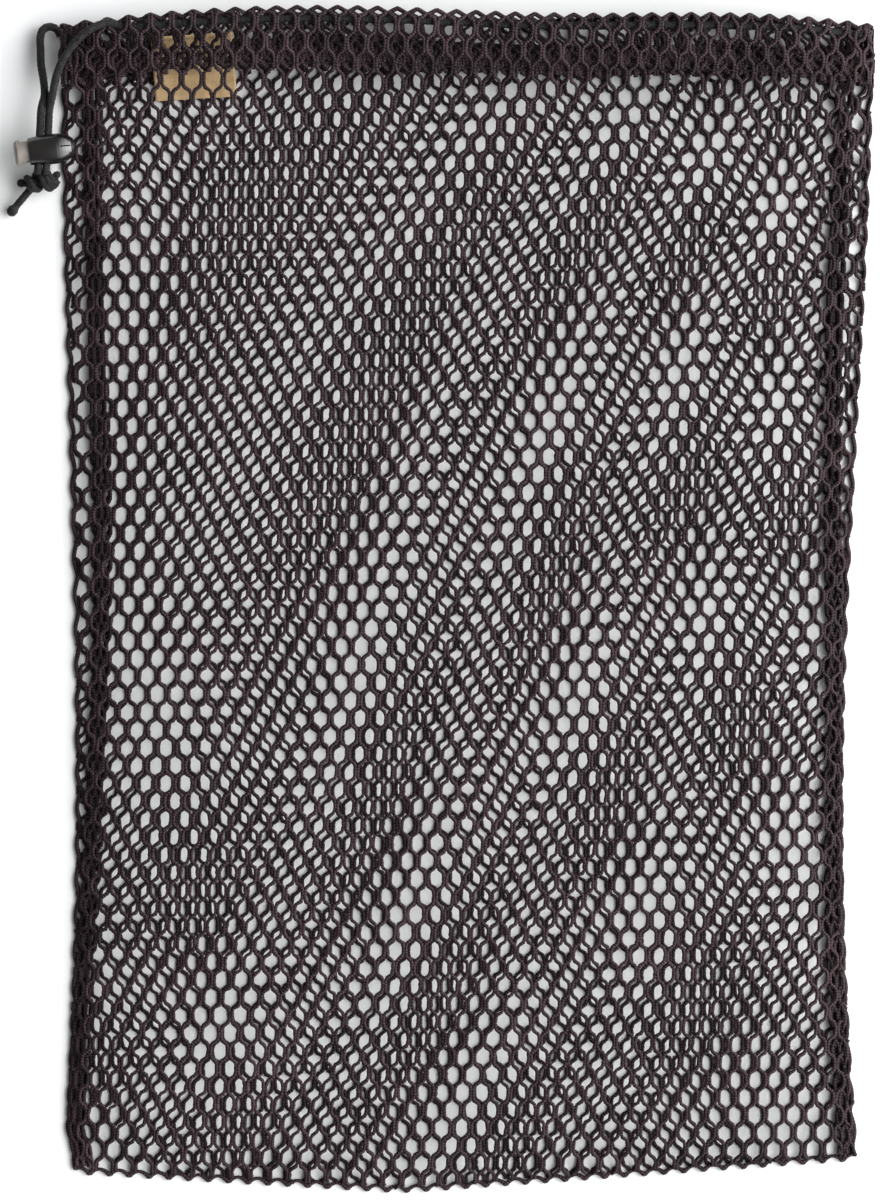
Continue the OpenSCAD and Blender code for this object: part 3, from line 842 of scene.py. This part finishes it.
def side_edges():
    """The wale that each panel is cut along, which follows the side line."""
    strands = []
    v = np.linspace(0, 1, EDGE_POINTS)
    for right in (False, True):
        sign = 1 if right else -1
        for lift, phase in ((BACK_MID, 0), (FRONT_MID, 0.5)):
            side = side_x(right, v) - STRAND_W - EDGE_SWING
            y = casing_low(sign * side) + (fold_y(sign * side) - casing_low(sign * side)) * v
            x = sign * (side + EDGE_SWING * np.sin(math.pi * y / ROW + phase))
            points = np.stack([x, y, np.full_like(y, lift)], axis=1)
            strands.append(flat_strand(points))
    return strands


ALLOWANCE_FROM = {False: 8.9, True: 8.3}
ALLOWANCE_W = {False: 6.2, True: 5.6}
ALLOWANCE_SLIDES = {False: (0.35, 0.9), True: (0.2, 0.6)}
ALLOWANCE_END = 1.4
ALLOWANCE_TOP = 20
ALLOWANCE_WALES = {False: (6, 5), True: (5, 4)}
ALLOWANCE_SWING = 0.7
LAYER_SIDESTEP, LAYER_ROWSTEP = 0.4, 0.8  # of the second layer, in wales and in rows


def allowance_inset(right, v):
    """How far the sewn edges lie in from the side line."""
    first, last = ALLOWANCE_SLIDES[right]
    slid = smooth_step((v - first) / (last - first))
    return ALLOWANCE_FROM[right] + (ALLOWANCE_END - ALLOWANCE_FROM[right]) * slid


def allowance(right):
    """Both raw edges of one side, sewn together: flat between the panels, and up between the casings.

    Towards the bottom they have slid out to the side.
    """
    strands = []
    sign = 1 if right else -1
    v = np.linspace(-ALLOWANCE_TOP / LONG_SIDE, 0.997, ALLOWANCE_POINTS)
    at_mouth = np.exp(-np.maximum(v, 0) / END_FADE)
    inset = allowance_inset(right, v)
    for layer, count in enumerate(ALLOWANCE_WALES[right]):
        for k in range(count):
            centre = inset + ALLOWANCE_W[right] * (k + 0.5 + LAYER_SIDESTEP * layer) / count
            row = v * LONG_SIDE / ROW + LAYER_ROWSTEP * layer
            wave = ALLOWANCE_SWING * leans(k) * swing(row)
            x = sign * (side_x(right, np.maximum(v, 0)) - centre - wave)
            y = casing_low(x) + (fold_y(x) - casing_low(x)) * v
            low = CLOTH_T * (1.5 + layer)
            z = low + (CASING_T + LAYER_GAP / 2 - low) * at_mouth
            points = np.stack([x, y, z], axis=1)
            strands.append(flat_strand(points))
    return strands


FOLD_DIP, FOLD_ARC = 1.3, 1.9
FOLD_THIN, FOLD_KNOT, FOLD_KNOT_REACH = 0.8, 0.45, 0.3
FOLD_LAYERS = ((0.5, 0), (1, 0.07))  # height, and shift along the fold


def bottom_edge():
    """The fold at the bottom: arcs of net between the turned-over knots, which point down."""
    x = np.linspace(STRAND_W - side_x(False, 1), side_x(True, 1) - STRAND_W, FOLD_POINTS)
    strands = []
    for lift, shift in FOLD_LAYERS:
        arcs = np.abs(np.sin(math.pi * (x / (2 * WALE) + shift)))
        y = fold_y(x) - FOLD_DIP + FOLD_ARC * arcs
        width = STRAND_W * (FOLD_THIN + FOLD_KNOT * np.exp(-((arcs / FOLD_KNOT_REACH) ** 2)))
        points = np.stack([x, y, np.full_like(x, lift)], axis=1)
        strands.append(flat_strand(points, width))
    return strands


END_ANGLES, END_SWING = range(-75, 90, 25), 8
BOUND_WALES, BOUND_STEP, BOUND_SWING = 4, 1.9, 0.5


def end_wales():
    """Wales that pass round the right-hand end of the casing, from the back one to the front one."""
    strands = []
    e = np.arange(END_EDGE, CASING_H, ROW / POINTS_A_ROW)
    top_z = arch(END_X) + CASING_T - BACK_MID
    mid, half = (top_z + BACK_MID) / 2, (top_z - BACK_MID) / 2
    for k, angle in enumerate(END_ANGLES):
        a = np.radians(angle + END_SWING * leans(k) * swing(e / ROW))
        x = END_X + (MOUTH_HALF - END_X - STRAND_T) * np.cos(a)
        points = np.stack([x, casing_low(x) + e, mid + half * np.sin(a)], axis=1)
        ups = np.stack([np.cos(a), np.zeros_like(a), np.sin(a)], axis=1)
        strands.append(tube(points, ups, STRAND_W, STRAND_T, STRAND_SIDES))
    return strands


def bound_end(share):
    """The casing's open left end: the wales next to the cut are bound down along it."""
    strands = []
    e = np.arange(END_EDGE, CASING_H - 0.5, ROW / POINTS_A_ROW)
    for k in range(BOUND_WALES):
        x = STRAND_W + BOUND_STEP * k + BOUND_SWING * leans(k) * swing(e / ROW) - MOUTH_HALF
        z = arch(x) + stack_t(e) - BACK_MID if share == FRONT else np.full_like(x, BACK_MID)
        strands.append(flat_strand(np.stack([x, casing_low(x) + e, z], axis=1)))
    return strands


def make_net():
    front, back = net_layer(FRONT), net_layer(BACK)
    edges = [net_trim("side_edge_wales", side_edges())]
    fold = net_trim("bottom_fold_net", bottom_edge(), ["bottom_fold"])
    panel = ["front_panel", "front_panel_left_side", "front_panel_right_side", "front_panel_bottom"]
    panel_strips("front_panel", front[PANEL], panel)
    panel_strips("back_panel", back[PANEL], ["back_panel"])
    for name, made, share in (("front_casing", front, FRONT), ("back_casing", back, BACK)):
        strands = [*net_strands(made[CASING]), mouth_edge(share), *bound_end(share)]
        net_piece(f"{name}_net", strands, [name])
    for name, made in (("front_hem_turn", front[TURNED]), ("back_hem_turn", back[TURNED])):
        crumpled = [(wale, points + shift, ups) for wale, points, ups in made for shift in CRUMPLES]
        for _, points, _ in crumpled:
            points[:, 0] = np.clip(points[:, 0], END_EDGE - MOUTH_HALF, MOUTH_HALF - END_EDGE)
        strands = net_strands(crumpled, TURN_GATHER)
        net_piece(f"{name}_net", strands, [name])
    for name, right in (("left_seam_allowance", False), ("right_seam_allowance", True)):
        net_piece(f"{name}_net", allowance(right), [name])
    net_piece("casing_right_end_net", end_wales(), ["casing_right_end"])


make_net()


# ---- Thread ----

THREAD_R, THREAD_SIDES = 0.22, 6
STITCH_LEN, STITCH_PITCH = 2.4, 3.6
STITCH_LIFT, STITCH_ARCH, STITCH_DIP = 0.12, 0.22, 0.15
SEAM_IN, SEAM_SPAN = 1.4, (0.055, 0.945)
HEM_STITCHES_UP, HEM_STITCHES_IN = 2, 4


def stitch(place, way, size=1.0):
    """One lockstitch: a short thread that dips into the cloth at both ends."""
    t = np.linspace(-1, 1, 7)
    lift = STITCH_LIFT + STITCH_ARCH * (1 - t**4) - STITCH_DIP * t**4
    points = place + (t * size * STITCH_LEN / 2)[:, None] * way
    points = points + (lift * size)[:, None] * np.array([0, 0, 1])
    radius = THREAD_R * size
    return tube(points, np.tile([0, 0, 1.0], (len(points), 1)), radius, radius, THREAD_SIDES)


def stitch_row(points):
    """A stitch at each point, along the line that they make."""
    return [stitch(p, w) for p, w in zip(points, unit(np.gradient(points, axis=0)))]


def seam_stitches(right):
    """The seam of one side, on top of its sewn edges."""
    sign = 1 if right else -1
    first, last = SEAM_SPAN
    count = int((last - first) * LONG_SIDE / STITCH_PITCH)
    v = np.linspace(first, last, count + 1)
    x = sign * (side_x(right, v) - allowance_inset(right, v) - SEAM_IN)
    y = casing_low(x) + (fold_y(x) - casing_low(x)) * v
    return stitch_row(np.stack([x, y, np.full_like(x, 3 * CLOTH_T)], axis=1))


def hem_stitches(lift):
    """The seam of one hem; lift is 1 on the front casing and 0 on the back one."""
    reach = END_X - HEM_STITCHES_IN
    count = int(2 * reach / STITCH_PITCH)
    x = np.linspace(-reach, reach, count + 1)
    return stitch_row(np.stack([x, casing_low(x) + HEM_STITCHES_UP, lift * arch(x) + HEM_T - 0.1], axis=1))


def thread_piece(name, strands, material=THREAD, slot="black_thread"):
    stand_in(strands_piece(name + "_thread", strands, material), slot, name)


# ---- Care label ----

LABEL_X = sum(corner[0] for corner in box_mm("care_label")) / 2
LABEL_W, LABEL_H, LABEL_T = 31.6, 24.3, 0.4
LABEL_FOLD = 1.5
LABEL_ACROSS, LABEL_UP = 33, 40  # points of its mesh
LABEL_FROM_TOP = 7.4
LABEL_CLEAR, LABEL_EASE = 0.2, 1.6
LABEL_STITCH_PITCH, LABEL_STITCH_SIZE = 3, 0.6
LABEL_TURN = math.atan((casing_low(LABEL_X + 1) - casing_low(LABEL_X - 1)) / 2)


def label_height(e):
    """The label's underside over the back casing and panel, eased over the hem."""
    hem = smooth_step((e + LABEL_EASE) / LABEL_EASE)
    casing = smooth_step((e - SLOPE_FROM) / (SLOPE_TO - SLOPE_FROM))
    return CLOTH_T + LABEL_CLEAR + (HEM_T - CLOTH_T) * hem + (CASING_T - HEM_T) * casing


def make_label():
    """A plain woven tape with folded ends, a little wavy across."""
    across, up = LABEL_ACROSS, LABEL_UP
    i, j = (grid.ravel() for grid in np.meshgrid(np.linspace(-0.5, 0.5, across), np.linspace(0, 1, up)))
    x = i * LABEL_W
    e = CASING_H - LABEL_FROM_TOP + (j - 1) * LABEL_H
    wave = 0.18 * np.sin(x * 0.35 + 0.6) * (1 - j) + 0.1 * np.sin(x * 0.9 + e * 0.3)
    under = label_height(e) + 0.15 + wave
    folded = 0.25 * ((j > 0.93) | (j < 0.06))
    cos, sin = math.cos(LABEL_TURN), math.sin(LABEL_TURN)
    flat = np.stack([x, e], axis=1) @ [[cos, sin], [-sin, cos]] + (LABEL_X, casing_low(LABEL_X))
    low = np.column_stack([flat, under])
    high = np.column_stack([flat, under + LABEL_T * 0.8 + folded])
    cells = [
        (r * across + c, r * across + c + 1, (r + 1) * across + c + 1, (r + 1) * across + c)
        for r in range(up - 1) for c in range(across - 1)
    ]
    count = across * up
    rim = [*range(across), *range(2 * across - 1, count, across)]
    rim += [*range(count - 2, count - across - 1, -1), *range(count - 2 * across, 0, -across)]
    faces = [tuple(reversed(f)) for f in cells] + [tuple(k + count for k in f) for f in cells]
    faces += [(a, b, b + count, a + count) for a, b in zip(rim, rim[1:] + rim[:1])]
    piece = mesh_piece("care_label_tape", np.concatenate([low, high]), faces, LABEL)
    stand_in(piece, "label_tape", "care_label")
    flat = (LABEL_W * MM, (LABEL_H + LABEL_FOLD) * MM)


def label_stitches():
    """The seam along the label's top, which holds it to the back casing."""
    reach = LABEL_W / 2 - 2
    count = int(2 * reach / LABEL_STITCH_PITCH)
    x = np.linspace(-reach, reach, count + 1)
    e = CASING_H - LABEL_FROM_TOP - LABEL_FOLD
    way = np.array([math.cos(LABEL_TURN), math.sin(LABEL_TURN), 0])
    z = CASING_T + LABEL_CLEAR + LABEL_T + 0.4
    up = np.array([-math.sin(LABEL_TURN), math.cos(LABEL_TURN), 0])
    start = np.array([LABEL_X, casing_low(LABEL_X), z]) + e * up
    return [stitch(start + d * way, way, LABEL_STITCH_SIZE) for d in x]


def make_sewing():
    thread_piece("left_seam_stitching", seam_stitches(False))
    thread_piece("right_seam_stitching", seam_stitches(True))
    thread_piece("front_hem_stitching", hem_stitches(1))
    thread_piece("back_hem_stitching", hem_stitches(0))
    make_label()
    thread_piece("label_stitching", label_stitches(), LABEL_THREAD, "label_thread")


make_sewing()


# ---- Floor and light ----

FLOOR_HALF, FLOOR_Z = 3000, -0.05
KEY_PLACE, KEY_SIZE, KEY_POWER = (1.25, 0.15, 0.85), 1.4, 9
STUDIO = {"From Min": 0.25, "From Max": 1, "To Min": 0.22, "To Max": 7.8}  # brighter to the right


def make_floor():
    """Plain pale paper, just under the bag."""
    n = Nodes("floor_paper", Roughness=0.85)
    n.colours(n.noise(9, 3), (0.3, (0.86, 0.855, 0.85)), (0.7, (0.89, 0.885, 0.88)))
    corners = [(x * FLOOR_HALF, y * FLOOR_HALF, FLOOR_Z) for x, y in ((-1, -1), (1, -1), (1, 1), (-1, 1))]
    mesh_piece("floor", corners, [(0, 1, 2, 3)], n.material)


def make_key_light():
    """A soft disk of light to the right, aimed at the middle of the bag."""
    light = bpy.data.objects.new("key", bpy.data.lights.new("key", "AREA"))
    bpy.context.scene.collection.objects.link(light)
    light.data.shape = "DISK"
    light.data.size = KEY_SIZE
    light.data.energy = KEY_POWER
    light.location = KEY_PLACE
    light.rotation_mode = "QUATERNION"
    light.rotation_quaternion = (-Vector(KEY_PLACE)).to_track_quat("-Z", "Y")


def make_studio():
    """A dim room whose right-hand side is one very large soft source."""
    world = bpy.data.worlds.new("studio")
    bpy.context.scene.world = world
    world.use_nodes = True
    tree = world.node_tree
    background = tree.nodes["Background"]
    background.inputs["Color"].default_value = (0.97, 0.985, 1, 1)
    way = tree.nodes.new("ShaderNodeTexCoord")
    axes = tree.nodes.new("ShaderNodeSeparateXYZ")
    rise = tree.nodes.new("ShaderNodeMapRange")
    for socket, value in STUDIO.items():
        rise.inputs[socket].default_value = value
    tree.links.new(way.outputs["Generated"], axes.inputs["Vector"])
    tree.links.new(axes.outputs["X"], rise.inputs["Value"])
    tree.links.new(rise.outputs["Result"], background.inputs["Strength"])
    bpy.context.scene.view_settings.view_transform = "Standard"


make_floor()
make_studio()
make_key_light()
